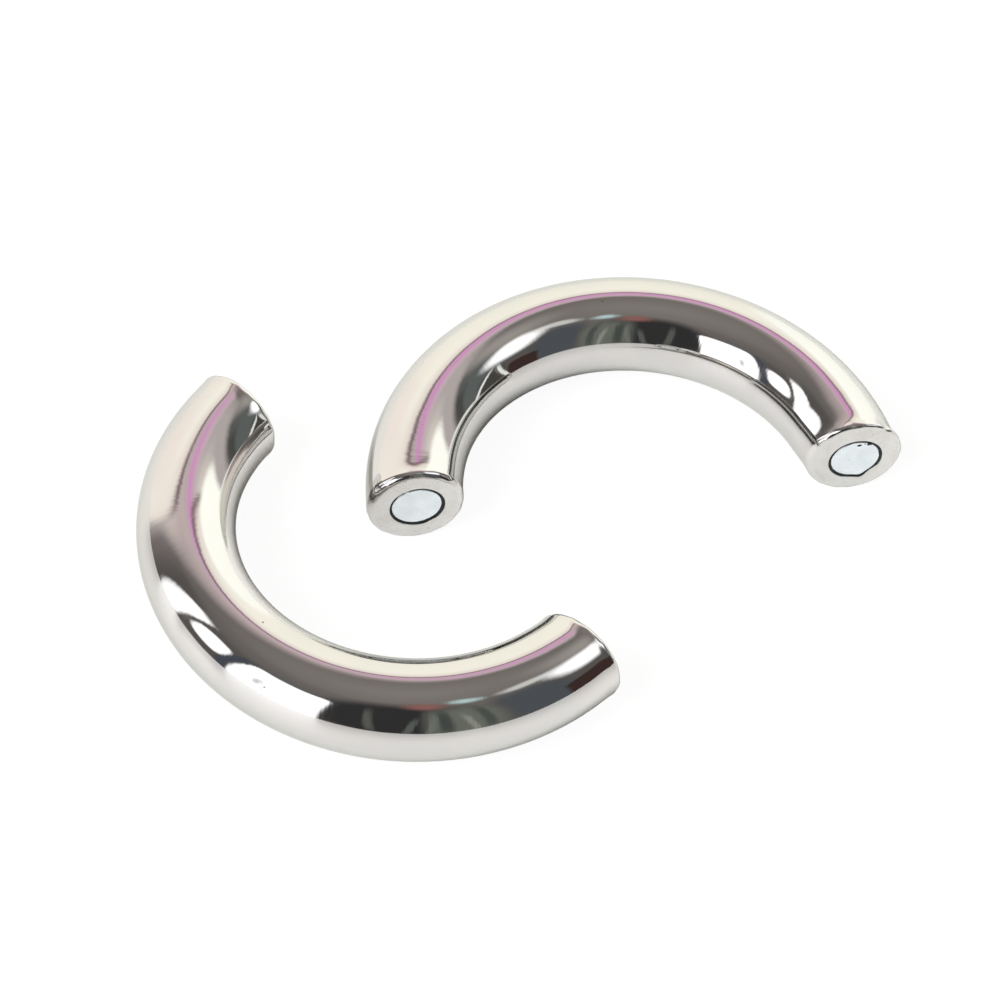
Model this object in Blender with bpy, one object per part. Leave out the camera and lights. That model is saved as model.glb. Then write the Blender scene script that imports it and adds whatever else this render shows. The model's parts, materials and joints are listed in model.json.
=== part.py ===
"""Magnetic split ring puzzle.

A ring of round polished steel bar is cut across into two equal half rings.
Each cut end is ground flat and has a blind pocket, and a disc magnet sits in
the pocket in a thin cup of cured adhesive.  The two half rings lie loose and
apart on a table, and they join into one ring when the four magnets meet.

The origin is on the table, below the middle of the whole layout, and +Z is up.
The front half ring is the fixed one.  The rear half ring closes onto it in one
coupled motion: it turns over about the axis of its own right magnet while that
magnet is carried round an upright pole.
"""
import math

import bmesh
import bpy
from mathutils import Matrix, Vector

# Driving dimensions, in metres.
BAR_DIAMETER = 0.014
RING_BORE = 0.050
FACE_CUT_BACK = 0.0013
RIM_RADIUS = 0.0008
POCKET_DIAMETER = 0.0080
POCKET_DEPTH = 0.0068
MAGNET_DIAMETER = 0.0072
MAGNET_LENGTH = 0.0060
MAGNET_EDGE = 0.00015
FIT_GAP = 0.00005
ADHESIVE_RECESS = 0.00025
CLOSED_GAP = 0.0003

# Where the two half rings lie: ring centre on the table, and turn about +Z.
FRONT_CENTRE = Vector((-0.01501, -0.00469, 0.0))
FRONT_TURN = math.radians(-37.0)
REAR_CENTRE = Vector((0.01659, 0.00469, 0.0))
REAR_TURN = math.radians(193.4)

# How finely the round shapes are faceted.
BAR_SEGMENTS = 32
ARC_SEGMENTS = 34
RIM_SEGMENTS = 3
FIRST_ARC_ANGLE = math.radians(8.5)

# Sizes that follow from the driving dimensions.
BAR_RADIUS = BAR_DIAMETER / 2
RING_RADIUS = RING_BORE / 2 + BAR_RADIUS
END_OFFSET = math.sqrt(RING_RADIUS ** 2 - FACE_CUT_BACK ** 2)
LEFT_END_OF_REAR = Vector((END_OFFSET, -FACE_CUT_BACK, 0.0))
RIGHT_END_OF_REAR = Vector((-END_OFFSET, -FACE_CUT_BACK, 0.0))
LEFT_END_OF_FRONT = Vector((-END_OFFSET, -FACE_CUT_BACK, 0.0))
RIGHT_END_OF_FRONT = Vector((END_OFFSET, -FACE_CUT_BACK, 0.0))
TABLE_TO_AXIS = Vector((0.0, 0.0, BAR_RADIUS))


def remove_old_objects():
    """Empty the file, so that a second run starts clean."""
    for old in list(bpy.data.objects):
        bpy.data.objects.remove(old, do_unlink=True)


def make_material(name, colour, metallic, roughness):
    """Return a Principled material."""
    material = bpy.data.materials.new(name)
    material.use_nodes = True
    shader = material.node_tree.nodes["Principled BSDF"]
    shader.inputs["Base Color"].default_value = (*colour, 1.0)
    shader.inputs["Metallic"].default_value = metallic
    shader.inputs["Roughness"].default_value = roughness
    return material


def finish_mesh(name, shape, material):
    """Turn a closed bmesh into a smooth shaded mesh with its faces pointing out."""
    bmesh.ops.recalc_face_normals(shape, faces=shape.faces)
    mesh = bpy.data.meshes.new(name)
    shape.to_mesh(mesh)
    shape.free()
    mesh.shade_smooth()
    mesh.set_sharp_from_angle(angle=math.radians(30))
    mesh.materials.append(material)
    return mesh


def bridge_in_order(shape, loops):
    """Join each loop of vertices to the next one with four-sided faces."""
    for near, far in zip(loops, loops[1:]):
        count = len(near)
        for index in range(count):
            after = (index + 1) % count
            shape.faces.new((near[index], near[after], far[after], far[index]))


def end_circle(shape, side, radius, depth):
    """Add a circle about an end's axis, at a depth below its flat face."""
    loop = []
    for index in range(BAR_SEGMENTS):
        angle = math.tau * index / BAR_SEGMENTS
        across = side * (END_OFFSET + radius * math.cos(angle))
        up = radius * math.sin(angle)
        loop.append(shape.verts.new((across, -FACE_CUT_BACK - depth, up)))
    return loop


def flat_section(shape, side, depth):
    """Add the loop where the bar meets a plane parallel to the flat faces."""
    loop = []
    along = FACE_CUT_BACK + depth
    for index in range(BAR_SEGMENTS):
        angle = math.tau * index / BAR_SEGMENTS
        reach = RING_RADIUS + BAR_RADIUS * math.cos(angle)
        across = side * math.sqrt(reach ** 2 - along ** 2)
        loop.append(shape.verts.new((across, -along, BAR_RADIUS * math.sin(angle))))
    return loop


def arc_section(shape, arc_angle):
    """Add the bar's round section at an angle along the half ring."""
    loop = []
    for index in range(BAR_SEGMENTS):
        angle = math.tau * index / BAR_SEGMENTS
        reach = RING_RADIUS + BAR_RADIUS * math.cos(angle)
        up = BAR_RADIUS * math.sin(angle)
        loop.append(shape.verts.new((reach * math.cos(arc_angle), -reach * math.sin(arc_angle), up)))
    return loop


def end_loops(shape, side):
    """Return one end's loops, from the pocket floor out and over the rounded rim."""
    pocket_radius = POCKET_DIAMETER / 2
    loops = [
        end_circle(shape, side, pocket_radius, POCKET_DEPTH),
        end_circle(shape, side, pocket_radius, 0.0),
    ]
    for step in range(RIM_SEGMENTS):
        angle = math.radians(90) * step / RIM_SEGMENTS
        inset = RIM_RADIUS * (1 - math.sin(angle))
        depth = RIM_RADIUS * (1 - math.cos(angle))
        loops.append(end_circle(shape, side, BAR_RADIUS - inset, depth))
    loops.append(flat_section(shape, side, RIM_RADIUS))
    return loops


def half_ring_mesh(material):
    """Half a ring in its own frame: the ring's centre at the origin, opening to +Y."""
    shape = bmesh.new()
    loops = end_loops(shape, 1)
    swept = math.pi - 2 * FIRST_ARC_ANGLE
    for step in range(ARC_SEGMENTS + 1):
        loops.append(arc_section(shape, FIRST_ARC_ANGLE + swept * step / ARC_SEGMENTS))
    loops.extend(reversed(end_loops(shape, -1)))
    bridge_in_order(shape, loops)
    shape.faces.new(loops[0])
    shape.faces.new(loops[-1])
    return finish_mesh("half_ring", shape, material)


def turned_mesh(name, profile, material):
    """Revolve a profile of (radius, height) points about +Y, closed at both ends."""
    shape = bmesh.new()
    loops = []
    for radius, height in profile[1:-1]:
        loop = []
        for index in range(BAR_SEGMENTS):
            angle = math.tau * index / BAR_SEGMENTS
            loop.append(shape.verts.new((radius * math.cos(angle), height, radius * math.sin(angle))))
        loops.append(loop)
    bridge_in_order(shape, loops)
    shape.faces.new(loops[0])
    shape.faces.new(loops[-1])
    return finish_mesh(name, shape, material)


def magnet_mesh(material):
    """Disc magnet with a broken edge, its outer face at height 0."""
    radius = MAGNET_DIAMETER / 2
    profile = [
        (0.0, -MAGNET_LENGTH),
        (radius - MAGNET_EDGE, -MAGNET_LENGTH),
        (radius, MAGNET_EDGE - MAGNET_LENGTH),
        (radius, -MAGNET_EDGE),
        (radius - MAGNET_EDGE, 0.0),
        (0.0, 0.0),
    ]
    return turned_mesh("disc_magnet", profile, material)


def adhesive_mesh(material):
    """Thin cup of cured adhesive between a magnet and its pocket."""
    outer = POCKET_DIAMETER / 2 - FIT_GAP
    inner = MAGNET_DIAMETER / 2 + FIT_GAP
    floor = FIT_GAP - POCKET_DEPTH
    seat = -MAGNET_LENGTH - FIT_GAP
    profile = [
        (0.0, floor),
        (outer, floor),
        (outer, -ADHESIVE_RECESS),
        (inner, -ADHESIVE_RECESS),
        (inner, seat),
        (0.0, seat),
    ]
    return turned_mesh("adhesive_cup", profile, material)


def add_empty(name, parent, place, turn=0.0):
    """Add an empty at a place in its parent's frame."""
    empty = bpy.data.objects.new(name, None)
    bpy.context.collection.objects.link(empty)
    empty.parent = parent
    empty.location = place
    empty.rotation_euler = (0.0, 0.0, turn)
    return empty


def add_part(name, mesh, parent, place):
    """Add one named sub-part at a place in its parent's frame."""
    part = bpy.data.objects.new(name, mesh)
    bpy.context.collection.objects.link(part)
    part.parent = parent
    part.location = place
    return part


def swing_pole(swivel_place):
    """Return the upright pole that carries the rear half's right magnet home.

    The magnet turns with the half ring until both flat faces are parallel, and
    it ends CLOSED_GAP in front of the front half's left magnet.
    """
    closing_turn = FRONT_TURN + math.pi - REAR_TURN
    front_frame = Matrix.Translation(FRONT_CENTRE) @ Matrix.Rotation(FRONT_TURN, 4, "Z")
    goal = front_frame @ (LEFT_END_OF_FRONT + Vector((0.0, CLOSED_GAP, 0.0)))
    chord = goal - swivel_place
    height_over_chord = 0.5 / math.tan(closing_turn / 2)
    pole = swivel_place + chord / 2 + Vector((-chord.y, chord.x, 0.0)) * height_over_chord
    return Vector((pole.x, pole.y, 0.0))


def build_front_half(half_mesh, disc_mesh, cup_mesh):
    """The front half ring, which stays where it lies."""
    frame = add_empty("front_half_frame", None, FRONT_CENTRE + TABLE_TO_AXIS, FRONT_TURN)
    add_part("front_half_ring", half_mesh, frame, Vector((0.0, 0.0, 0.0)))
    for side, place in (("left", LEFT_END_OF_FRONT), ("right", RIGHT_END_OF_FRONT)):
        add_part(f"front_{side}_magnet", disc_mesh, frame, place)
        add_part(f"front_{side}_adhesive", cup_mesh, frame, place)


def build_rear_half(half_mesh, disc_mesh, cup_mesh):
    """The rear half ring, hung on its right magnet's axis and on the pole."""
    rear_frame = Matrix.Translation(REAR_CENTRE) @ Matrix.Rotation(REAR_TURN, 4, "Z")
    swivel_place = rear_frame @ RIGHT_END_OF_REAR
    pole_place = swing_pole(swivel_place)
    pole = add_empty("carry_across_axis", None, pole_place)
    swivel_offset = swivel_place + TABLE_TO_AXIS - pole_place
    swivel = add_empty("close_ring_axis", pole, swivel_offset, REAR_TURN)
    add_part("rear_half_ring", half_mesh, swivel, -RIGHT_END_OF_REAR)
    for side, place in (("left", LEFT_END_OF_REAR), ("right", RIGHT_END_OF_REAR)):
        add_part(f"rear_{side}_magnet", disc_mesh, swivel, place - RIGHT_END_OF_REAR)
        add_part(f"rear_{side}_adhesive", cup_mesh, swivel, place - RIGHT_END_OF_REAR)


def main():
    """Build the whole layout."""
    remove_old_objects()
    steel = make_material("polished_steel", (0.78, 0.76, 0.74), 1.0, 0.08)
    nickel = make_material("nickel_plate", (0.80, 0.84, 0.86), 1.0, 0.35)
    adhesive = make_material("cured_adhesive", (0.03, 0.035, 0.035), 0.0, 0.5)
    half_mesh = half_ring_mesh(steel)
    disc_mesh = magnet_mesh(nickel)
    cup_mesh = adhesive_mesh(adhesive)
    build_front_half(half_mesh, disc_mesh, cup_mesh)
    build_rear_half(half_mesh, disc_mesh, cup_mesh)


main()
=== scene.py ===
"""Looks of the magnetic split ring puzzle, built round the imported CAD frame.

Each half ring, magnet and adhesive cup of the frame is replaced by a fine mesh.
The polished steel reflects a soft studio: a cream paper sweep behind the ring,
windows on the left, a soft box on the right, and a grey ceiling.
"""
import json
import math
from collections import namedtuple

import bmesh
import bpy
from mathutils import Matrix, Vector, noise


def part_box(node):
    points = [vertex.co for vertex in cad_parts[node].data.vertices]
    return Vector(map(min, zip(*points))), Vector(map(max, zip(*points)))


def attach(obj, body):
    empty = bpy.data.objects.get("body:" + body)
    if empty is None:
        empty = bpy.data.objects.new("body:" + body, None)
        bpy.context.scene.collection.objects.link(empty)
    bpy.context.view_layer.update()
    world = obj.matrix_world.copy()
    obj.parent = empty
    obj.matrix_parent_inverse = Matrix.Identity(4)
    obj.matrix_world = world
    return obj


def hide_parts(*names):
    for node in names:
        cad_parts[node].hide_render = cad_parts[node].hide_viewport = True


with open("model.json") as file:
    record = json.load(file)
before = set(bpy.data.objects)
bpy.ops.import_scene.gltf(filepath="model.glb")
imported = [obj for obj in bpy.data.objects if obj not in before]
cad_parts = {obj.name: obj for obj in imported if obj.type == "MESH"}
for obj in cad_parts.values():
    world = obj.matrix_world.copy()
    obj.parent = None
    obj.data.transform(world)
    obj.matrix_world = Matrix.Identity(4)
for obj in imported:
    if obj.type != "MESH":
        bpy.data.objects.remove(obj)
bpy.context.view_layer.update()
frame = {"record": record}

MM = 0.001
UP = Vector((0.0, 0.0, 1.0))

# ---------------------------------------------------------------- camera
CAMERA_TARGET = Vector((-2.98, 6.63, 0.0)) * MM
CAMERA_DISTANCE = 463.4 * MM
CAMERA_ELEVATION = math.radians(50.97)
CAMERA_ROLL = math.radians(4.15)
CAMERA_LENS = 114.65
CAMERA_SENSOR = 36.0

# ---------------------------------------------------------------- sizes
RING_BORE = 50.0 * MM
END_LENGTH = 6.0 * MM       # stretch of bar that the hand finishing of an end reaches
RIM_RADIUS = 0.85 * MM
RIM_UNEVENNESS = 0.22       # shares by which the rim's rounding varies
RIM_DENTS = 0.13
LIP_HEIGHT = 0.05 * MM      # how far the end stands out all round
LIP_LENGTH = 1.3 * MM
NICK_START = 0.9            # share of the bar's radius from which a nick deepens to the rim

POCKET_RADIUS = 4.0 * MM
POCKET_DEPTH = 6.8 * MM
MOUTH_EDGE = 0.10 * MM      # bevel of the pocket's mouth
MOUTH_UNEVENNESS = 0.010
FLAT_SIDE = 0.5             # a flat shapes only the side of the mouth that faces it

# Heights are measured from the end face, and down is into the pocket.
MAGNET_RADIUS = 3.6 * MM
MAGNET_LENGTH = 6.0 * MM
MAGNET_TOP = -0.02 * MM
MAGNET_EDGE = 0.16 * MM
MAGNET_DISH = 0.012 * MM
MAGNET_UNEVENNESS = 0.006   # share of its radius by which the magnet is out of round
MAGNET_CENTRE = 0.03        # share of its radius at which one polygon closes a face
MAGNET_FACE_SHARES = (0.92, 0.84, 0.76, 0.68, 0.6, 0.45, 0.3, 0.15, MAGNET_CENTRE)
EDGE_SHARPNESS = 6          # how sharply the wear of the edge dies away towards the middle
CHIP_START = 0.35           # unevenness above which the edge is chipped
CHIP_DEPTH = 0.4 * MM

ADHESIVE_GAP = 0.012 * MM   # to the pocket and to the magnet
ADHESIVE_TOP = -0.09 * MM
ADHESIVE_OUTER_EDGE = ADHESIVE_TOP - 0.1 * MM
ADHESIVE_INNER_EDGE = ADHESIVE_TOP - 0.15 * MM
ADHESIVE_SEAT = -6.05 * MM  # what the magnet stands on
ADHESIVE_FLOOR = -6.75 * MM
ADHESIVE_SAG = 0.10 * MM
ADHESIVE_SAG_RANGE = (0.7, 0.6)     # usual share of the sag, and how much it varies
ADHESIVE_LIFT = 0.05 * MM
# Shares of the way from the pocket's wall to the magnet, across the adhesive's top.
ADHESIVE_TOP_SHARES = (0.0, 0.15, 0.35, 0.5, 0.65, 0.85, 1.0)
WIDEST_MAGNET = 1.007       # how much wider than a true disc the adhesive's inside has to be

# Height in mm and share of its full width of each loop of a crumb, from its underside up.
CRUMB_PROFILE = (
    (-0.10, 0.8), (-0.03, 1.0), (0.012, 0.97), (0.035, 0.80), (0.045, 0.5), (0.05, 0.1))
CRUMB_SINK = 0.045          # in mm
CRUMB_RAGGEDNESS = 0.35
CRUMB_SEED = 20.0
CRUMB_LOBES = 2.6

# Waviness of the polished surface: height, and waves per metre.
LONG_RIPPLE = (0.010 * MM, 110.0)
SHORT_RIPPLE = (0.0032 * MM, 380.0)
RIM_RIPPLE = (0.10 * MM, 850.0)
RIM_RIPPLE_START = 0.10 * MM
RIM_RIPPLE_REACH = 1.0 * MM
RIPPLE_SEEDS = {"front": 0.0, "rear": 0.4}

# Numbers of mesh steps.
BAR_STEPS = 144
ARC_STEPS = 300
END_STEPS = 20
END_CROWDING = 1.6          # above 1, the loops lie closer together near the rim
RIM_STEPS = 12
FACE_STEPS = 7
ROUND_STEPS = 120
MAGNET_EDGE_STEPS = 6
CRUMB_STEPS = 24
SHARP_ANGLE = math.radians(35)

# The finishes of a half ring, as numbers of its material slots.
POLISHED = 0
GROUND = 1

# Name of the vertices' place that the materials read, and how far apart it sets the ends.
PLACE = "place_on_piece"
MARKS_SPACING = 10 * MM

# ---------------------------------------------------------------- colours
STEEL_COLOUR = (0.68, 0.672, 0.662)
STEEL_SMUDGED = (0.70, 0.685, 0.67)
STEEL_EDGE_TINT = (0.72, 0.74, 0.71)
STEEL_PIT = (0.25, 0.24, 0.23)
GROUND_WARM = (0.635, 0.618, 0.592)
GROUND_PALE = (0.71, 0.715, 0.70)
GROUND_PIT = (0.26, 0.25, 0.24)
PLATE_COLOUR = (0.80, 0.86, 0.895)
PLATE_DULL = (0.72, 0.78, 0.81)
PLATE_SPECK = (0.42, 0.45, 0.46)
ADHESIVE_DARK = (0.006, 0.008, 0.008)
ADHESIVE_LIGHT = (0.030, 0.037, 0.035)
PAPER_COLOUR = (0.84, 0.84, 0.83)
WHITE = (1.0, 1.0, 1.0)


# ================================================================ node helpers
def new_material(name):
    """Make a material; return it with its node tree and its Principled shader."""
    material = bpy.data.materials.new(name)
    material.use_nodes = True
    shader = material.node_tree.nodes["Principled BSDF"]
    return material, material.node_tree, shader


def math_node(tree, operation, first, second=None, third=None):
    """Add a Math node; each value is a number or another node's output."""
    node = tree.nodes.new("ShaderNodeMath")
    node.operation = operation
    for socket, value in zip(node.inputs, (first, second, third)):
        if value is None:
            continue
        if isinstance(value, (int, float)):
            socket.default_value = value
        else:
            tree.links.new(value, socket)
    return node.outputs[0]


def smooth_range(tree, value, low, high, low_result=0.0, high_result=1.0):
    """Map a value from low..high to the two results, with eased ends."""
    node = tree.nodes.new("ShaderNodeMapRange")
    node.interpolation_type = "SMOOTHSTEP"
    settings = (low, high, low_result, high_result)
    for socket, number in zip(node.inputs[1:5], settings):
        socket.default_value = number
    tree.links.new(value, node.inputs[0])
    return node.outputs[0]


def straight_range(tree, value, low, high):
    """Map low..high to 0..1 in a straight line."""
    node = tree.nodes.new("ShaderNodeMapRange")
    node.inputs[1].default_value = low
    node.inputs[2].default_value = high
    tree.links.new(value, node.inputs[0])
    return node.outputs[0]


def mix_colour(tree, factor, first, second):
    """Mix two colours; each is a triple or another node's output."""
    node = tree.nodes.new("ShaderNodeMix")
    node.data_type = "RGBA"
    tree.links.new(factor, node.inputs["Factor"])
    for socket, value in ((node.inputs[6], first), (node.inputs[7], second)):
        if isinstance(value, tuple):
            socket.default_value = (*value, 1.0)
        else:
            tree.links.new(value, socket)
    return node.outputs[2]


def noise_node(tree, vector, scale, detail=2.0, roughness=0.5):
    """Add a noise texture and return its value output."""
    node = tree.nodes.new("ShaderNodeTexNoise")
    node.inputs["Scale"].default_value = scale
    node.inputs["Detail"].default_value = detail
    node.inputs["Roughness"].default_value = roughness
    tree.links.new(vector, node.inputs["Vector"])
    return node.outputs["Fac"]


def piece_place(tree, stretch=(1.0, 1.0, 1.0)):
    """Return a point's place on its own piece, in metres, stretched along each axis.

    On a half ring that is (along the bar, out from the bar's middle, height), so that a
    texture follows the bend. On a magnet or adhesive cup it is the end face's own frame.
    """
    place = tree.nodes.new("ShaderNodeAttribute")
    place.attribute_name = PLACE
    mapping = tree.nodes.new("ShaderNodeMapping")
    mapping.inputs["Scale"].default_value = stretch
    tree.links.new(place.outputs["Vector"], mapping.inputs["Vector"])
    return mapping.outputs["Vector"]


def add_bump(tree, shader, height, distance, strength=1.0):
    """Feed a height into the shader's normal."""
    bump = tree.nodes.new("ShaderNodeBump")
    bump.inputs["Strength"].default_value = strength
    bump.inputs["Distance"].default_value = distance
    tree.links.new(height, bump.inputs["Height"])
    tree.links.new(bump.outputs["Normal"], shader.inputs["Normal"])


# ================================================================ materials
def polished_steel():
    """Mirror polish with faint smudges, fine buffing lines round the bar and a few pits."""
    material, tree, shader = new_material("polished_steel")
    shader.inputs["Metallic"].default_value = 1.0
    shader.inputs["Specular Tint"].default_value = (*STEEL_EDGE_TINT, 1.0)
    position = piece_place(tree)
    smudge = noise_node(tree, position, scale=160.0, detail=3.0, roughness=0.6)
    round_the_bar = piece_place(tree, stretch=(1.0, 0.11, 0.11))
    buffing = noise_node(tree, round_the_bar, scale=1500.0, roughness=0.6)
    pits = smooth_range(tree, noise_node(tree, position, scale=520.0, detail=1.0), 0.80, 0.84)
    smudged = smooth_range(tree, smudge, 0.3, 0.7)
    colour = mix_colour(tree, smudged, STEEL_COLOUR, STEEL_SMUDGED)
    colour = mix_colour(tree, pits, colour, STEEL_PIT)
    tree.links.new(colour, shader.inputs["Base Color"])
    worn = math_node(tree, "MULTIPLY", buffing, smudge)
    roughness = smooth_range(tree, worn, 0.15, 0.45, low_result=0.03, high_result=0.08)
    roughness = math_node(tree, "MULTIPLY_ADD", pits, 0.3, roughness)
    tree.links.new(roughness, shader.inputs["Roughness"])
    add_bump(tree, shader, buffing, distance=0.0028 * MM)
    return material


def ground_steel():
    """Flat ground end face: warm grey, faintly stained, with a few pits."""
    material, tree, shader = new_material("ground_steel")
    shader.inputs["Metallic"].default_value = 1.0
    position = piece_place(tree)
    along_the_grinding = piece_place(tree, stretch=(1.0, 0.05, 1.0))
    lines = noise_node(tree, along_the_grinding, scale=6000.0, roughness=0.7)
    stain = noise_node(tree, position, scale=300.0, detail=3.0, roughness=0.6)
    pits = smooth_range(tree, noise_node(tree, position, scale=1100.0, detail=1.5), 0.74, 0.80)
    stained = smooth_range(tree, stain, 0.3, 0.7)
    colour = mix_colour(tree, stained, GROUND_WARM, GROUND_PALE)
    colour = mix_colour(tree, pits, colour, GROUND_PIT)
    tree.links.new(colour, shader.inputs["Base Color"])
    roughness = smooth_range(tree, stain, 0.25, 0.75, low_result=0.24, high_result=0.36)
    tree.links.new(roughness, shader.inputs["Roughness"])
    add_bump(tree, shader, lines, distance=0.001 * MM, strength=0.5)
    return material


def magnet_plating():
    """Satin nickel plate with a bluish cast, soft mottling and a few dull specks."""
    material, tree, shader = new_material("magnet_plating")
    shader.inputs["Metallic"].default_value = 1.0
    position = piece_place(tree)
    mottle = noise_node(tree, position, scale=260.0, detail=3.0, roughness=0.55)
    grain = noise_node(tree, position, scale=5200.0)
    specks = smooth_range(tree, noise_node(tree, position, scale=1700.0, detail=1.0), 0.78, 0.84)
    dulled = smooth_range(tree, mottle, 0.3, 0.75)
    colour = mix_colour(tree, dulled, PLATE_COLOUR, PLATE_DULL)
    colour = mix_colour(tree, specks, colour, PLATE_SPECK)
    tree.links.new(colour, shader.inputs["Base Color"])
    roughness = smooth_range(tree, mottle, 0.2, 0.8, low_result=0.24, high_result=0.36)
    tree.links.new(roughness, shader.inputs["Roughness"])
    add_bump(tree, shader, grain, distance=0.001 * MM, strength=0.4)
    return material


def cured_adhesive():
    """Dark cured adhesive, glossy where it shrank smooth and dull where it was scraped."""
    material, tree, shader = new_material("adhesive")
    shader.inputs["Specular IOR Level"].default_value = 0.22
    patches = noise_node(tree, piece_place(tree), scale=900.0, detail=3.0, roughness=0.6)
    scraped = smooth_range(tree, patches, 0.45, 0.75)
    colour = mix_colour(tree, scraped, ADHESIVE_DARK, ADHESIVE_LIGHT)
    tree.links.new(colour, shader.inputs["Base Color"])
    roughness = smooth_range(tree, patches, 0.3, 0.7, low_result=0.25, high_result=0.6)
    tree.links.new(roughness, shader.inputs["Roughness"])
    add_bump(tree, shader, patches, distance=0.03 * MM, strength=0.6)
    return material


def floor_paper():
    """White paper. Seen directly it is lit evenly; the steel mirrors its true light and shade."""
    material = bpy.data.materials.new("floor_paper")
    material.use_nodes = True
    tree = material.node_tree
    tree.nodes.clear()
    paper = tree.nodes.new("ShaderNodeBsdfPrincipled")
    paper.inputs["Base Color"].default_value = (*PAPER_COLOUR, 1.0)
    paper.inputs["Roughness"].default_value = 0.28
    glow = tree.nodes.new("ShaderNodeEmission")
    glow.inputs["Color"].default_value = (*WHITE, 1.0)
    glow.inputs["Strength"].default_value = FLOOR_GLOW
    blend = tree.nodes.new("ShaderNodeMixShader")
    tree.links.new(paper.outputs[0], blend.inputs[1])
    tree.links.new(glow.outputs[0], blend.inputs[2])
    path = tree.nodes.new("ShaderNodeLightPath")
    seen_directly = path.outputs["Is Camera Ray"]
    share = math_node(tree, "MULTIPLY", seen_directly, FLOOR_EVENNESS)
    tree.links.new(share, blend.inputs[0])
    output = tree.nodes.new("ShaderNodeOutputMaterial")
    tree.links.new(blend.outputs[0], output.inputs["Surface"])
    return material


# ================================================================ meshes
def end_places():
    """Read each end's flat face from the record's mounts: name to (point, outward axis)."""
    places = {}
    for mount in frame["record"]["mounts"]:
        places[mount["name"]] = (Vector(mount["pos_m"]), Vector(mount["axis"]).normalized())
    return places


def face_frame(point, outward):
    """Frame of an end face: X to the right as seen from outside, Y up, Z outward."""
    right = UP.cross(outward)
    matrix = Matrix((right, UP, outward)).transposed().to_4x4()
    return Matrix.Translation(point) @ matrix


def wavy(angle, seed, lobes):
    """Smooth noise from -1 to 1 that closes on itself round a circle."""
    return noise.noise(Vector((lobes * math.cos(angle), lobes * math.sin(angle), seed)))


# Each kind of unevenness round an end: its own step of seed, and its number of lobes.
UNEVENNESS = {
    "mouth": (0.0, 1.6),
    "rim": (1.0, 1.3),
    "rim_dents": (30.0, 5.0),
    "magnet_edge": (5.0, 2.4),
    "magnet_chips": (6.0, 3.2),
    "adhesive_sag": (9.0, 3.0),
    "adhesive_lift": (11.0, 3.5),
}


def uneven(angle, style, kind):
    """One kind of unevenness at an angle round an end, from -1 to 1."""
    seed_step, lobes = UNEVENNESS[kind]
    return wavy(angle, style.seed + seed_step, lobes)


def near_direction(angle, direction, spread):
    """1 where an angle in radians meets a direction in degrees, fading over a spread in degrees."""
    turn = (math.degrees(angle) - direction + 180.0) % 360.0 - 180.0
    return math.exp(-((turn / spread) ** 2))


def corner_growth(angle, style):
    """How much further out a chipped corner reaches, on the pocket's mouth and the magnet."""
    return sum(extra * MM * near_direction(angle, direction, spread)
               for direction, extra, spread in style.corners)


def mouth_point(angle, style, widen):
    """Point on a pocket's mouth, nearly round with a few worn flats, in the face's frame."""
    radius = POCKET_RADIUS * (1.0 + MOUTH_UNEVENNESS * uneven(angle, style, "mouth"))
    for direction, distance in style.flats:
        away = math.cos(angle - math.radians(direction))
        if away > FLAT_SIDE:
            radius = min(radius, distance * MM / away)
    radius += corner_growth(angle, style) + widen
    right, up = style.pocket_shift
    return Vector((right * MM + radius * math.cos(angle), up * MM + radius * math.sin(angle), 0.0))


# How hand finishing left each end, as seen facing it. Lengths are in mm, directions in
# degrees round the face from its right, and shifts go right and up.
#   flats     (direction, distance) of straight worn stretches of the pocket's mouth
#   corners   (direction, extra, spread) of corners that the pocket and the magnet share
#   push      how far the face stands out sideways, away from the ring's middle
#   flare     (direction, extra) of the side where the end was beaten slightly wider
#   rims      (direction, share) of how much larger the rim's rounding is there
#   nicks     (direction, depth, spread) of dents in the rim
#   crumbs    (right, up, half width, half height) of adhesive left on the face
EndStyle = namedtuple(
    "EndStyle", "seed pocket_shift magnet_shift push flare rims flats corners nicks crumbs",
    defaults=((), (), (), ()))
END_STYLES = {
    "rear_left": EndStyle(
        3.1, (0.20, -0.03), (0.11, 0.15), 0.06, (95.0, 0.06),
        rims=((155.0, 0.85), (55.0, 0.20), (95.0, -0.12)),
        flats=((303.0, 3.90),)),
    "rear_right": EndStyle(
        7.7, (0.68, -0.20), (0.66, -0.12), 0.52, (42.0, 0.20),
        rims=((178.0, 0.45), (110.0, -0.20), (60.0, -0.30)),
        flats=((313.0, 3.78), (258.0, 3.97)),
        corners=((287.0, 0.38, 12.0),),
        nicks=((54.0, 0.34, 5.0),),
        crumbs=((0.89, 2.83, 0.44, 0.26), (2.46, 2.92, 0.46, 0.34), (1.72, 3.02, 0.14, 0.12))),
    "front_left": EndStyle(
        12.3, (0.10, 0.05), (0.14, 0.12), 0.05, (80.0, 0.10),
        rims=((90.0, 0.2),),
        flats=((200.0, 3.90),)),
    "front_right": EndStyle(
        16.9, (-0.08, 0.0), (-0.12, -0.06), 0.08, (110.0, 0.12),
        rims=((80.0, 0.25),),
        flats=((40.0, 3.92),)),
}


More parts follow.
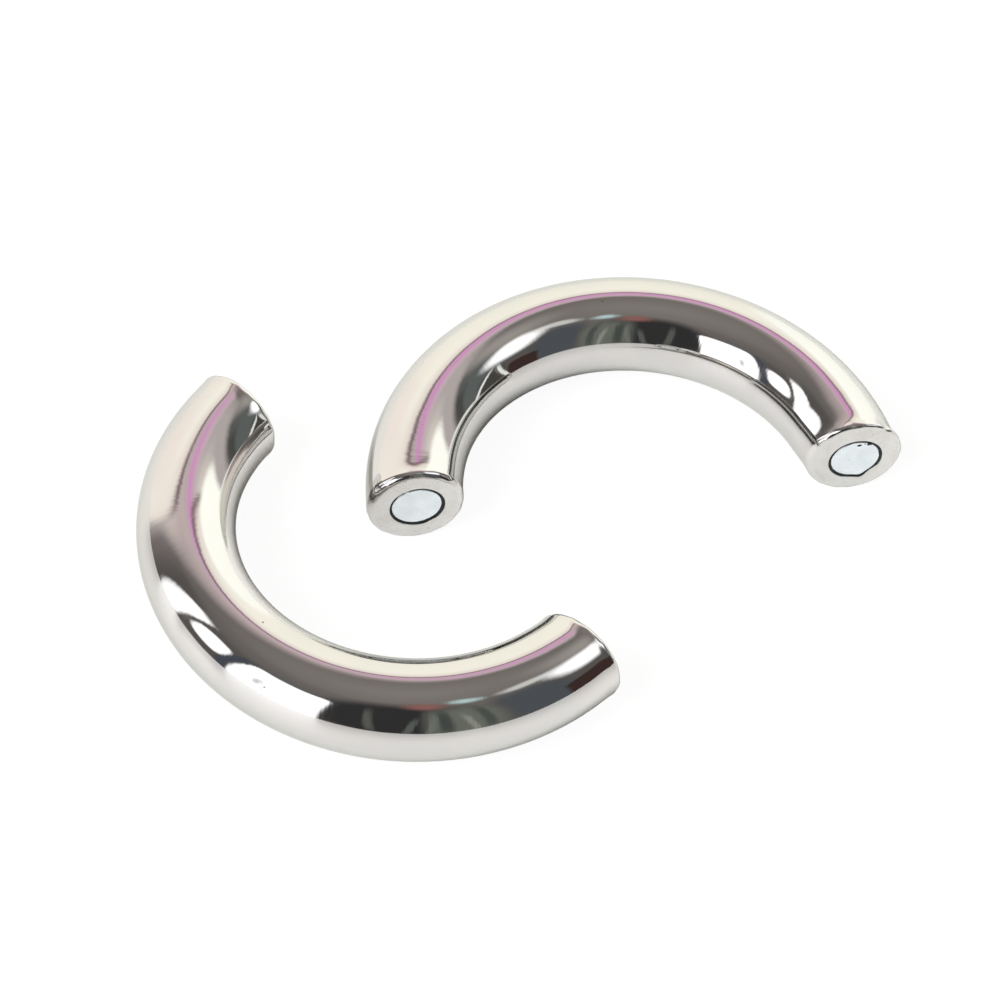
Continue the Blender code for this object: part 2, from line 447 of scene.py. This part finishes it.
class HalfRing:
    """Geometry of one half ring in its own frame: opening to +Y, centre at the origin."""

    def __init__(self, prefix, places):
        self.prefix = prefix
        low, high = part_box(f"{prefix}_half_ring")
        self.bar_radius = (high[2] - low[2]) / 2
        self.ring_radius = RING_BORE / 2 + self.bar_radius
        left, outward = places[f"{prefix}_left_face"]
        right, _ = places[f"{prefix}_right_face"]
        self.end_offset = (left - right).length / 2
        self.cut_back = math.sqrt(self.ring_radius ** 2 - self.end_offset ** 2)
        sideways = outward.cross(UP)
        turn = Matrix((sideways, outward, UP)).transposed().to_4x4()
        self.matrix = Matrix.Translation((left + right) / 2 + outward * self.cut_back) @ turn
        self.side_of_left = 1 if (left - right).dot(sideways) > 0 else -1

    def end_name(self, side):
        """Name of the end that lies towards +X (side 1) or -X (side -1)."""
        return f"{self.prefix}_left" if side == self.side_of_left else f"{self.prefix}_right"

    def face_angle(self, side, bar_angle):
        """Turn an angle round the bar into the end face's own angle."""
        return math.pi - bar_angle if side > 0 else bar_angle

    def section_point(self, side, depth, radius, bar_angle):
        """A point where a bar of this radius meets the plane at a depth below the face."""
        along = self.cut_back + depth
        reach = self.ring_radius + radius * math.cos(bar_angle)
        across = side * math.sqrt(reach ** 2 - along ** 2)
        return Vector((across, -along, radius * math.sin(bar_angle)))

    def pushed_point(self, side, depth, radius, bar_angle):
        """The same point after the end's sideways push, which dies away along the bar."""
        style = END_STYLES[self.end_name(side)]
        near = math.exp(-((depth / LIP_LENGTH) ** 2))
        share = min(depth / END_LENGTH, 1.0)
        far = 1 - share * share * (3 - 2 * share)
        outer_side = 0.5 + 0.5 * math.cos(bar_angle)
        push = style.push * MM * (outer_side * near + (1 - outer_side) * far)
        angle = self.face_angle(side, bar_angle)
        direction, extra = style.flare
        flare = extra * MM * (0.5 + 0.5 * math.cos(angle - math.radians(direction))) ** 2
        for direction, dent, spread in style.nicks:
            rim_share = max(radius / self.bar_radius - NICK_START, 0.0) / (1 - NICK_START)
            flare -= dent * MM * rim_share * near_direction(angle, direction, spread)
        point = self.section_point(side, depth, radius + (LIP_HEIGHT + flare) * near, bar_angle)
        return point + Vector((side * push, 0.0, 0.0))

    def pocket_point(self, side, depth, widen, bar_angle):
        """A point on the pocket's wall or mouth."""
        style = END_STYLES[self.end_name(side)]
        mouth = mouth_point(self.face_angle(side, bar_angle), style, widen)
        return Vector((side * self.end_offset - mouth.x, -self.cut_back - depth, mouth.y))

    def rim_size(self, side, bar_angle):
        """Rounding of the rim, which hand polishing left uneven."""
        style = END_STYLES[self.end_name(side)]
        angle = self.face_angle(side, bar_angle)
        size = 1.0 + RIM_UNEVENNESS * uneven(angle, style, "rim")
        size += RIM_DENTS * uneven(angle, style, "rim_dents")
        for direction, extra in style.rims:
            away = math.cos(angle - math.radians(direction))
            size += extra * max(away, 0.0) ** 3
        return RIM_RADIUS * size

    def end_loops(self, side, bar_angles):
        """Loops from the pocket's floor to where the plain bar starts, each with its finish."""
        loops = []
        mouth_bevel = ((MOUTH_EDGE, 0.0), (0.3 * MOUTH_EDGE, 0.3 * MOUTH_EDGE), (0.0, MOUTH_EDGE))
        for depth, widen in ((POCKET_DEPTH, 0.0), *mouth_bevel):
            loop = [self.pocket_point(side, depth, widen, angle) for angle in bar_angles]
            loops.append((loop, GROUND))
        mouth = loops[-1][0]
        for step in range(1, FACE_STEPS):
            loop = []
            for inner, bar_angle in zip(mouth, bar_angles):
                edge = self.bar_radius - self.rim_size(side, bar_angle)
                outer = self.pushed_point(side, 0.0, edge, bar_angle)
                loop.append(inner.lerp(outer, step / FACE_STEPS))
            loops.append((loop, GROUND))
        for step in range(RIM_STEPS + 1):
            turn = math.radians(90) * step / RIM_STEPS
            loop = []
            for bar_angle in bar_angles:
                rim = self.rim_size(side, bar_angle)
                depth = rim * (1 - math.cos(turn))
                radius = self.bar_radius - rim * (1 - math.sin(turn))
                loop.append(self.pushed_point(side, depth, radius, bar_angle))
            loops.append((loop, GROUND if step == 0 else POLISHED))
        for step in range(1, END_STEPS + 1):
            share = (step / END_STEPS) ** END_CROWDING
            loop = []
            for bar_angle in bar_angles:
                rim = self.rim_size(side, bar_angle)
                depth = rim + (END_LENGTH - rim) * share
                loop.append(self.pushed_point(side, depth, self.bar_radius, bar_angle))
            loops.append((loop, POLISHED))
        return loops

    def arc_loop(self, share, bar_angles):
        """Loop round the plain bar; share 0 and 1 are plane cuts beside the two ends."""
        loop = []
        for bar_angle in bar_angles:
            reach = self.ring_radius + self.bar_radius * math.cos(bar_angle)
            start = math.asin((self.cut_back + END_LENGTH) / reach)
            arc_angle = start + share * (math.pi - 2 * start)
            height = self.bar_radius * math.sin(bar_angle)
            across = reach * math.cos(arc_angle)
            along = reach * math.sin(arc_angle)
            loop.append(Vector((across, -along, height)))
        return loop

    def polish_ripple(self, point):
        """Waviness that hand polishing leaves, as a height on the bar's surface.

        It is coarser on the rims, which were rounded by hand.
        """
        seed = Vector((0.0, 0.0, RIPPLE_SEEDS[self.prefix]))
        depth = -point.y - self.cut_back
        fading = math.exp(-((depth / RIM_RIPPLE_REACH) ** 2))
        rim_share = fading * (1 - math.exp(-depth / RIM_RIPPLE_START))
        ripple = 0.0
        for (height, waves), share in (
                (LONG_RIPPLE, 1.0), (SHORT_RIPPLE, 1.0), (RIM_RIPPLE, rim_share)):
            ripple += height * share * noise.noise((point + seed) * waves)
        return ripple

    def bar_normal(self, point):
        """Outward direction of the bar at a point on it."""
        flat = Vector((point.x, point.y, 0.0))
        centre = flat.normalized() * self.ring_radius
        return (point - centre).normalized()

    def build(self, finishes):
        """Make the half ring's object."""
        bar_angles = [math.tau * step / BAR_STEPS for step in range(BAR_STEPS)]
        loops = self.end_loops(1, bar_angles)
        for step in range(1, ARC_STEPS):
            loops.append((self.arc_loop(step / ARC_STEPS, bar_angles), POLISHED))
        loops.extend(reversed(self.end_loops(-1, bar_angles)))
        vertices = []
        for loop, finish in loops:
            for point in loop:
                if finish == POLISHED:
                    point = point + self.bar_normal(point) * self.polish_ripple(point)
                vertices.append(point)
        places = [self.place_on_bar(point) for point in vertices]
        finish_pairs = [(loop[1], after[1]) for loop, after in zip(loops, loops[1:])]
        bands = [GROUND if GROUND in pair else POLISHED for pair in finish_pairs]
        name = f"{self.prefix}_half_ring_fine"
        return solid_object(name, self.matrix, vertices, places, BAR_STEPS, bands, finishes)

    def place_on_bar(self, point):
        """Distance along the bar, distance out from its middle line, and height."""
        along = math.atan2(-point.y, point.x) * self.ring_radius
        return (along, math.hypot(point.x, point.y) - self.ring_radius, point.z)


def solid_object(name, matrix, vertices, places, count, bands, finishes):
    """Join equal loops of vertices into one closed solid with a flat cap at each end.

    The matrix takes the vertices to the world. places are what the materials read as
    each vertex's place, and bands holds the material slot of each band of faces.
    """
    faces = []
    slots = []
    for band, slot in enumerate(bands):
        first = band * count
        for index in range(count):
            after = (index + 1) % count
            over = first + count
            faces.append((first + index, first + after, over + after, over + index))
            slots.append(slot)
    faces.append(tuple(range(count)))
    faces.append(tuple(range(len(vertices) - count, len(vertices))))
    slots.extend((bands[0], bands[-1]))
    mesh = bpy.data.meshes.new(name)
    mesh.from_pydata([matrix @ vertex for vertex in vertices], [], faces)
    for finish in finishes:
        mesh.materials.append(finish)
    for polygon, slot in zip(mesh.polygons, slots):
        polygon.material_index = slot
    point_outward(mesh)
    layer = mesh.attributes.new(PLACE, "FLOAT_VECTOR", "POINT")
    layer.data.foreach_set("vector", [number for place in places for number in place])
    mesh.shade_smooth()
    mesh.set_sharp_from_angle(angle=SHARP_ANGLE)
    piece = bpy.data.objects.new(name, mesh)
    bpy.context.collection.objects.link(piece)
    return piece


def point_outward(mesh):
    """Make all the faces of a closed mesh point out."""
    shape = bmesh.new()
    shape.from_mesh(mesh)
    bmesh.ops.recalc_face_normals(shape, faces=shape.faces)
    shape.to_mesh(mesh)
    shape.free()


def seeded_places(vertices, style):
    """Places that differ from end to end, so that no two ends carry the same marks."""
    offset = Vector((0.0, 0.0, style.seed * MARKS_SPACING))
    return [vertex + offset for vertex in vertices]


def magnet_profile():
    """Radius and height of each loop of a magnet, from its back to its face."""
    profile = [
        (MAGNET_CENTRE * MAGNET_RADIUS, -MAGNET_LENGTH),
        (MAGNET_RADIUS - MAGNET_EDGE, -MAGNET_LENGTH),
        (MAGNET_RADIUS, MAGNET_EDGE - MAGNET_LENGTH),
    ]
    for step in range(MAGNET_EDGE_STEPS + 1):
        turn = math.radians(90) * step / MAGNET_EDGE_STEPS
        radius = MAGNET_RADIUS - MAGNET_EDGE * (1 - math.cos(turn))
        profile.append((radius, MAGNET_TOP - MAGNET_EDGE * (1 - math.sin(turn))))
    for share in MAGNET_FACE_SHARES:
        dish = MAGNET_DISH * (1 - share ** 2)
        profile.append((MAGNET_RADIUS * share, MAGNET_TOP - dish))
    return profile


def magnet_piece(end, matrix, finish):
    """Disc magnet with a rounded, slightly chipped edge and a very slightly dished face."""
    style = END_STYLES[end]
    right, up = style.magnet_shift
    profile = magnet_profile()
    vertices = []
    for radius, height in profile:
        rim_share = (radius / MAGNET_RADIUS) ** EDGE_SHARPNESS
        for step in range(ROUND_STEPS):
            angle = math.tau * step / ROUND_STEPS
            out_of_round = MAGNET_UNEVENNESS * rim_share * uneven(angle, style, "magnet_edge")
            worn = radius * (1.0 + out_of_round)
            worn += corner_growth(angle, style) * rim_share
            chip = max(uneven(angle, style, "magnet_chips") - CHIP_START, 0.0)
            on_face_side = height > -0.5 * MAGNET_LENGTH
            drop = chip * CHIP_DEPTH * rim_share if on_face_side else 0.0
            across = right * MM + worn * math.cos(angle)
            vertices.append(Vector((across, up * MM + worn * math.sin(angle), height - drop)))
    bands = [0] * (len(profile) - 1)
    places = seeded_places(vertices, style)
    name = f"{end}_magnet_fine"
    return solid_object(name, matrix, vertices, places, ROUND_STEPS, bands, [finish])


def crumb_pieces(end, matrix, finish):
    """Thin dark crumbs of adhesive left on the magnet and over its edge."""
    style = END_STYLES[end]
    bands = [0] * (len(CRUMB_PROFILE) - 1)
    pieces = []
    for number, (right, up, half_width, half_height) in enumerate(style.crumbs, 1):
        seed = style.seed + CRUMB_SEED + number
        vertices = []
        for rise, share in CRUMB_PROFILE:
            for step in range(CRUMB_STEPS):
                angle = math.tau * step / CRUMB_STEPS
                ragged = share * (1.0 + CRUMB_RAGGEDNESS * wavy(angle, seed, CRUMB_LOBES))
                across = right + half_width * ragged * math.cos(angle)
                upward = up + half_height * ragged * math.sin(angle)
                vertices.append(Vector((across, upward, rise - CRUMB_SINK)) * MM)
        places = seeded_places(vertices, style)
        name = f"{end}_adhesive_crumb_{number}"
        pieces.append(solid_object(name, matrix, vertices, places, CRUMB_STEPS, bands, [finish]))
    return pieces


def adhesive_piece(end, matrix, finish):
    """Cured adhesive: a thin cup whose top surface sags between the steel and the magnet."""
    style = END_STYLES[end]
    right, up = style.magnet_shift
    magnet_middle = Vector((right, up, 0.0)) * MM
    rows = [(ADHESIVE_FLOOR, 0.0), (ADHESIVE_OUTER_EDGE, 0.0)]
    rows.extend((ADHESIVE_TOP, share) for share in ADHESIVE_TOP_SHARES)
    rows.extend([(ADHESIVE_INNER_EDGE, 1.0), (ADHESIVE_SEAT, 1.0)])
    usual_sag, sag_variation = ADHESIVE_SAG_RANGE
    vertices = []
    for height, share in rows:
        for step in range(ROUND_STEPS):
            angle = math.tau * step / ROUND_STEPS
            outer = mouth_point(angle, style, -ADHESIVE_GAP)
            reach = MAGNET_RADIUS * WIDEST_MAGNET + ADHESIVE_GAP + corner_growth(angle, style)
            inner = magnet_middle + Vector((math.cos(angle), math.sin(angle), 0.0)) * reach
            point = outer.lerp(inner, share)
            sag = ADHESIVE_SAG * math.sin(math.pi * share)
            sag *= usual_sag + sag_variation * uneven(angle, style, "adhesive_sag")
            lift = 0.0
            if height == ADHESIVE_TOP:
                lift = ADHESIVE_LIFT * uneven(angle, style, "adhesive_lift")
            vertices.append(point + Vector((0.0, 0.0, height - sag + lift)))
    bands = [0] * (len(rows) - 1)
    places = seeded_places(vertices, style)
    name = f"{end}_adhesive_fine"
    return solid_object(name, matrix, vertices, places, ROUND_STEPS, bands, [finish])


# ================================================================ studio
Panel = namedtuple("Panel", "azimuth elevation half_width half_height corner softness seen lean",
                   defaults=(0.0,))

# Soft panels of light and shade round the table. Angles are in degrees: azimuth 0 is
# straight behind the ring and 90 is to the right. seen is the colour, 0 to 255, that
# the panel has in the steel, and lean is how many degrees it leans for each degree up.
# Later panels lie over earlier ones.
ROOM = (
    # dark view in front, with plants
    Panel(180, 28, 32, 34, 3, 0.25, (47, 46, 46)),
    Panel(-169, 24, 1.6, 22, 4, 0.50, (84, 86, 82), 0.08),
    Panel(176, 14, 1.4, 18, 4, 0.50, (84, 88, 84), -0.10),
    Panel(156, 22, 14, 32, 4, 0.30, (98, 101, 94)),
    Panel(148, 24, 1.8, 26, 4, 0.50, (72, 76, 72)),
    Panel(154, 16, 1.2, 20, 4, 0.50, (132, 134, 124), 0.06),
    Panel(163, 24, 2.5, 26, 4, 0.50, (66, 70, 66)),
    Panel(168, 18, 1.3, 20, 4, 0.50, (104, 106, 100), -0.08),
    # right-hand side: slate wall, dark furniture and a grey wall
    Panel(127, 26, 13, 30, 4, 0.25, (73, 77, 81)),
    Panel(110, 9, 9, 13, 8, 0.14, (56, 42, 38)),
    Panel(77, 18, 18, 34, 5, 0.30, (88, 92, 90)),
    Panel(65, 14, 4, 22, 4, 0.45, (70, 70, 67)),
    Panel(90, 12, 9, 15, 3, 0.30, (66, 64, 60)),
    # soft box on the right, with what it lights round it
    Panel(62, 60, 24, 9, 2, 0.80, (148, 143, 137)),
    Panel(111, 62, 15, 4, 2, 0.55, (192, 192, 188)),
    Panel(94, 47, 15.5, 12.5, 2.6, 0.38, (266, 266, 266)),
    # two crossing pale struts of its stand
    Panel(83, 15, 1.3, 14, 4, 0.40, (222, 222, 218), 0.38),
    Panel(97, 15, 1.3, 14, 4, 0.40, (226, 226, 222), -0.30),
    # small bluish and reddish patches high up in front
    Panel(144, 65, 8, 4, 2, 0.70, (172, 196, 196)),
    Panel(168, 61, 9, 6, 2, 0.80, (134, 92, 87)),
    # windows on the left, with their frames
    Panel(-135, 20, 17.5, 26, 9, 0.06, (275, 274, 275)),
    Panel(-128, 20, 1.5, 6, 2, 0.60, (200, 202, 202)),
    Panel(-114, 22, 2.5, 24, 4, 0.35, (66, 70, 78)),
    Panel(-104, 25, 8, 13, 3, 0.14, (270, 266, 266)),
    Panel(-86, 22, 7, 24, 4, 0.14, (265, 264, 264)),
    Panel(-72, 16, 8, 32, 4, 0.35, (82, 78, 75)),
    # cream sweep behind: its surround, the pink light over it, its dark edge and its face
    Panel(-6, 4, 64, 55, 2.6, 0.16, (124, 116, 115)),
    Panel(-14, 20, 40, 38, 2.4, 0.25, (188, 172, 170)),
    Panel(22, 18, 39, 41, 2.8, 0.08, (171, 163, 160)),
    Panel(9, 51, 14, 7, 2.4, 0.50, (192, 168, 177)),
    Panel(5, 50.6, 7, 4.4, 2.2, 0.85, (200, 146, 184)),
    Panel(28, 30, 17, 17, 2.4, 0.35, (206, 198, 190)),
    Panel(-9, 0, 54.8, 49.2, 2.6, 0.02, (98, 78, 84)),
    Panel(-9, 0, 53.4, 47.2, 2.6, 0.04, (224, 211, 203)),
    Panel(-9, 0, 51.5, 42.0, 2.6, 0.16, (240, 237, 223)),
    Panel(-42, 12, 14, 26, 2.5, 0.70, (236, 226, 217)),
    Panel(32, 8, 18.7, 31, 4.0, 0.12, (254, 253, 243)),
    Panel(62, 3, 17, 3.5, 4, 0.35, (226, 225, 218)),
)

# Elevation and seen colour of the ceiling, and of the walls where no panel stands.
CEILING_STOPS = (
    (-4, (150, 150, 146)),
    (2, (82, 79, 76)),
    (44, (84, 80, 77)),
    (52, (97, 93, 90)),
    (60, (103, 98, 95)),
    (68, (113, 108, 103)),
    (90, (124, 119, 115)),
)
BACKDROP = (0.97, 0.97, 0.965)
FLOOR_GLOW = 1.04
FLOOR_EVENNESS = 0.90
WINDOW_SUN = 4.0
WINDOW_SPREAD = math.radians(42)
WINDOW_DIRECTION = Vector((-0.62, -0.42, 0.66))
FLOOR_HALF_WIDTH = 4.0
FLOOR_HEIGHT = -0.02 * MM
SRGB_STEP = 0.04


def linear(seen):
    """Turn a 0 to 255 display colour into linear light."""
    result = []
    for value in seen:
        share = value / 255
        result.append(((share + 0.055) / 1.055) ** 2.4 if share > SRGB_STEP else share / 12.92)
    return tuple(result)


def room_light(seen):
    """Light that a panel needs so that it looks like the seen colour in the steel."""
    return tuple(light / steel for light, steel in zip(linear(seen), STEEL_COLOUR))


def panel_mask(tree, azimuth, elevation, panel):
    """1 inside a panel with rounded corners and soft edges, 0 outside."""
    rise = math_node(tree, "SUBTRACT", elevation, panel.elevation)
    middle = math_node(tree, "MULTIPLY_ADD", rise, panel.lean, panel.azimuth)
    turn = math_node(tree, "WRAP", math_node(tree, "SUBTRACT", azimuth, middle), 180.0, -180.0)
    across = math_node(tree, "DIVIDE", math_node(tree, "ABSOLUTE", turn), panel.half_width)
    up = math_node(tree, "DIVIDE", math_node(tree, "ABSOLUTE", rise), panel.half_height)
    total = math_node(tree, "ADD", math_node(tree, "POWER", across, panel.corner),
                      math_node(tree, "POWER", up, panel.corner))
    distance = math_node(tree, "POWER", total, 1.0 / panel.corner)
    return smooth_range(tree, distance, 1 - panel.softness, 1 + panel.softness, 1.0, 0.0)


def studio_world():
    """Light the scene with the room's panels; the camera itself sees a plain pale backdrop."""
    world = bpy.data.worlds.new("studio")
    bpy.context.scene.world = world
    world.use_nodes = True
    tree = world.node_tree
    background = tree.nodes["Background"]
    direction = tree.nodes.new("ShaderNodeSeparateXYZ")
    tree.links.new(tree.nodes.new("ShaderNodeTexCoord").outputs["Generated"], direction.inputs[0])
    across, ahead, up = direction.outputs
    to_degrees = 180 / math.pi
    azimuth = math_node(tree, "MULTIPLY", math_node(tree, "ARCTAN2", across, ahead), to_degrees)
    elevation = math_node(tree, "MULTIPLY", math_node(tree, "ARCSINE", up), to_degrees)
    ramp = tree.nodes.new("ShaderNodeValToRGB")
    lowest = CEILING_STOPS[0][0]
    span = CEILING_STOPS[-1][0] - lowest
    tree.links.new(straight_range(tree, elevation, lowest, lowest + span), ramp.inputs[0])
    points = ramp.color_ramp.elements
    while len(points) < len(CEILING_STOPS):
        points.new(0.5)
    for point, (height, seen) in zip(points, CEILING_STOPS):
        point.position = (height - lowest) / span
        point.color = (*room_light(seen), 1.0)
    colour = ramp.outputs[0]
    for panel in ROOM:
        mask = panel_mask(tree, azimuth, elevation, panel)
        colour = mix_colour(tree, mask, colour, room_light(panel.seen))
    path = tree.nodes.new("ShaderNodeLightPath")
    shown = mix_colour(tree, path.outputs["Is Camera Ray"], colour, BACKDROP)
    tree.links.new(shown, background.inputs["Color"])


def window_light():
    """Soft light from the windows' side that the steel doesn't mirror."""
    light = bpy.data.lights.new("window_light", "SUN")
    light.energy = WINDOW_SUN
    light.angle = WINDOW_SPREAD
    lamp = bpy.data.objects.new("window_light", light)
    lamp.rotation_euler = WINDOW_DIRECTION.to_track_quat("Z", "Y").to_euler()
    lamp.visible_glossy = False
    bpy.context.collection.objects.link(lamp)


def studio_floor():
    """Pale paper that the half rings lie on."""
    half = FLOOR_HALF_WIDTH
    outline = ((-half, -half), (half, -half), (half, half), (-half, half))
    corners = [(across, ahead, FLOOR_HEIGHT) for across, ahead in outline]
    mesh = bpy.data.meshes.new("floor")
    mesh.from_pydata(corners, [], [(0, 1, 2, 3)])
    mesh.materials.append(floor_paper())
    floor = bpy.data.objects.new("floor", mesh)
    bpy.context.collection.objects.link(floor)


def studio_camera():
    """Camera at the photographed viewing angle."""
    camera_data = bpy.data.cameras.new("camera")
    camera_data.lens = CAMERA_LENS
    camera_data.sensor_width = CAMERA_SENSOR
    camera_data.clip_start = 0.01
    camera_data.clip_end = 20.0
    camera = bpy.data.objects.new("camera", camera_data)
    bpy.context.collection.objects.link(camera)
    back = Vector((0.0, -math.cos(CAMERA_ELEVATION), math.sin(CAMERA_ELEVATION)))
    level_right = Vector((1.0, 0.0, 0.0))
    level_up = back.cross(level_right)
    right = math.cos(CAMERA_ROLL) * level_right + math.sin(CAMERA_ROLL) * level_up
    up = back.cross(right)
    turn = Matrix((right, up, back)).transposed().to_4x4()
    camera.matrix_world = Matrix.Translation(CAMERA_TARGET + back * CAMERA_DISTANCE) @ turn
    bpy.context.scene.camera = camera


# ================================================================ assembly
# A magnet is glued into its steel half and turns with it, so each end's magnet
# and adhesive ride with the half ring round them.
BODY_OF_END = {
    "front_left": "front_half",
    "front_right": "front_half",
    "rear_left": "rear_half",
    "rear_right": "rear_half",
}


def dress(piece, body, node):
    """Put a piece in place of a CAD node."""
    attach(piece, body)
    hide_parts(node)


def build_object():
    """Make every visible piece."""
    places = end_places()
    rings = [HalfRing(prefix, places) for prefix in ("front", "rear")]
    steel = polished_steel()
    ground = ground_steel()
    plate = magnet_plating()
    glue = cured_adhesive()
    for ring in rings:
        half = ring.build([steel, ground])
        dress(half, f"{ring.prefix}_half", f"{ring.prefix}_half_ring")
    for end, body in BODY_OF_END.items():
        matrix = face_frame(*places[f"{end}_face"])
        dress(magnet_piece(end, matrix, plate), body, f"{end}_magnet")
        for piece in [adhesive_piece(end, matrix, glue)] + crumb_pieces(end, matrix, glue):
            dress(piece, body, f"{end}_adhesive")


studio_camera()
studio_world()
window_light()
studio_floor()
build_object()
bpy.context.scene.view_settings.view_transform = "Standard"

bpy.context.view_layer.update()
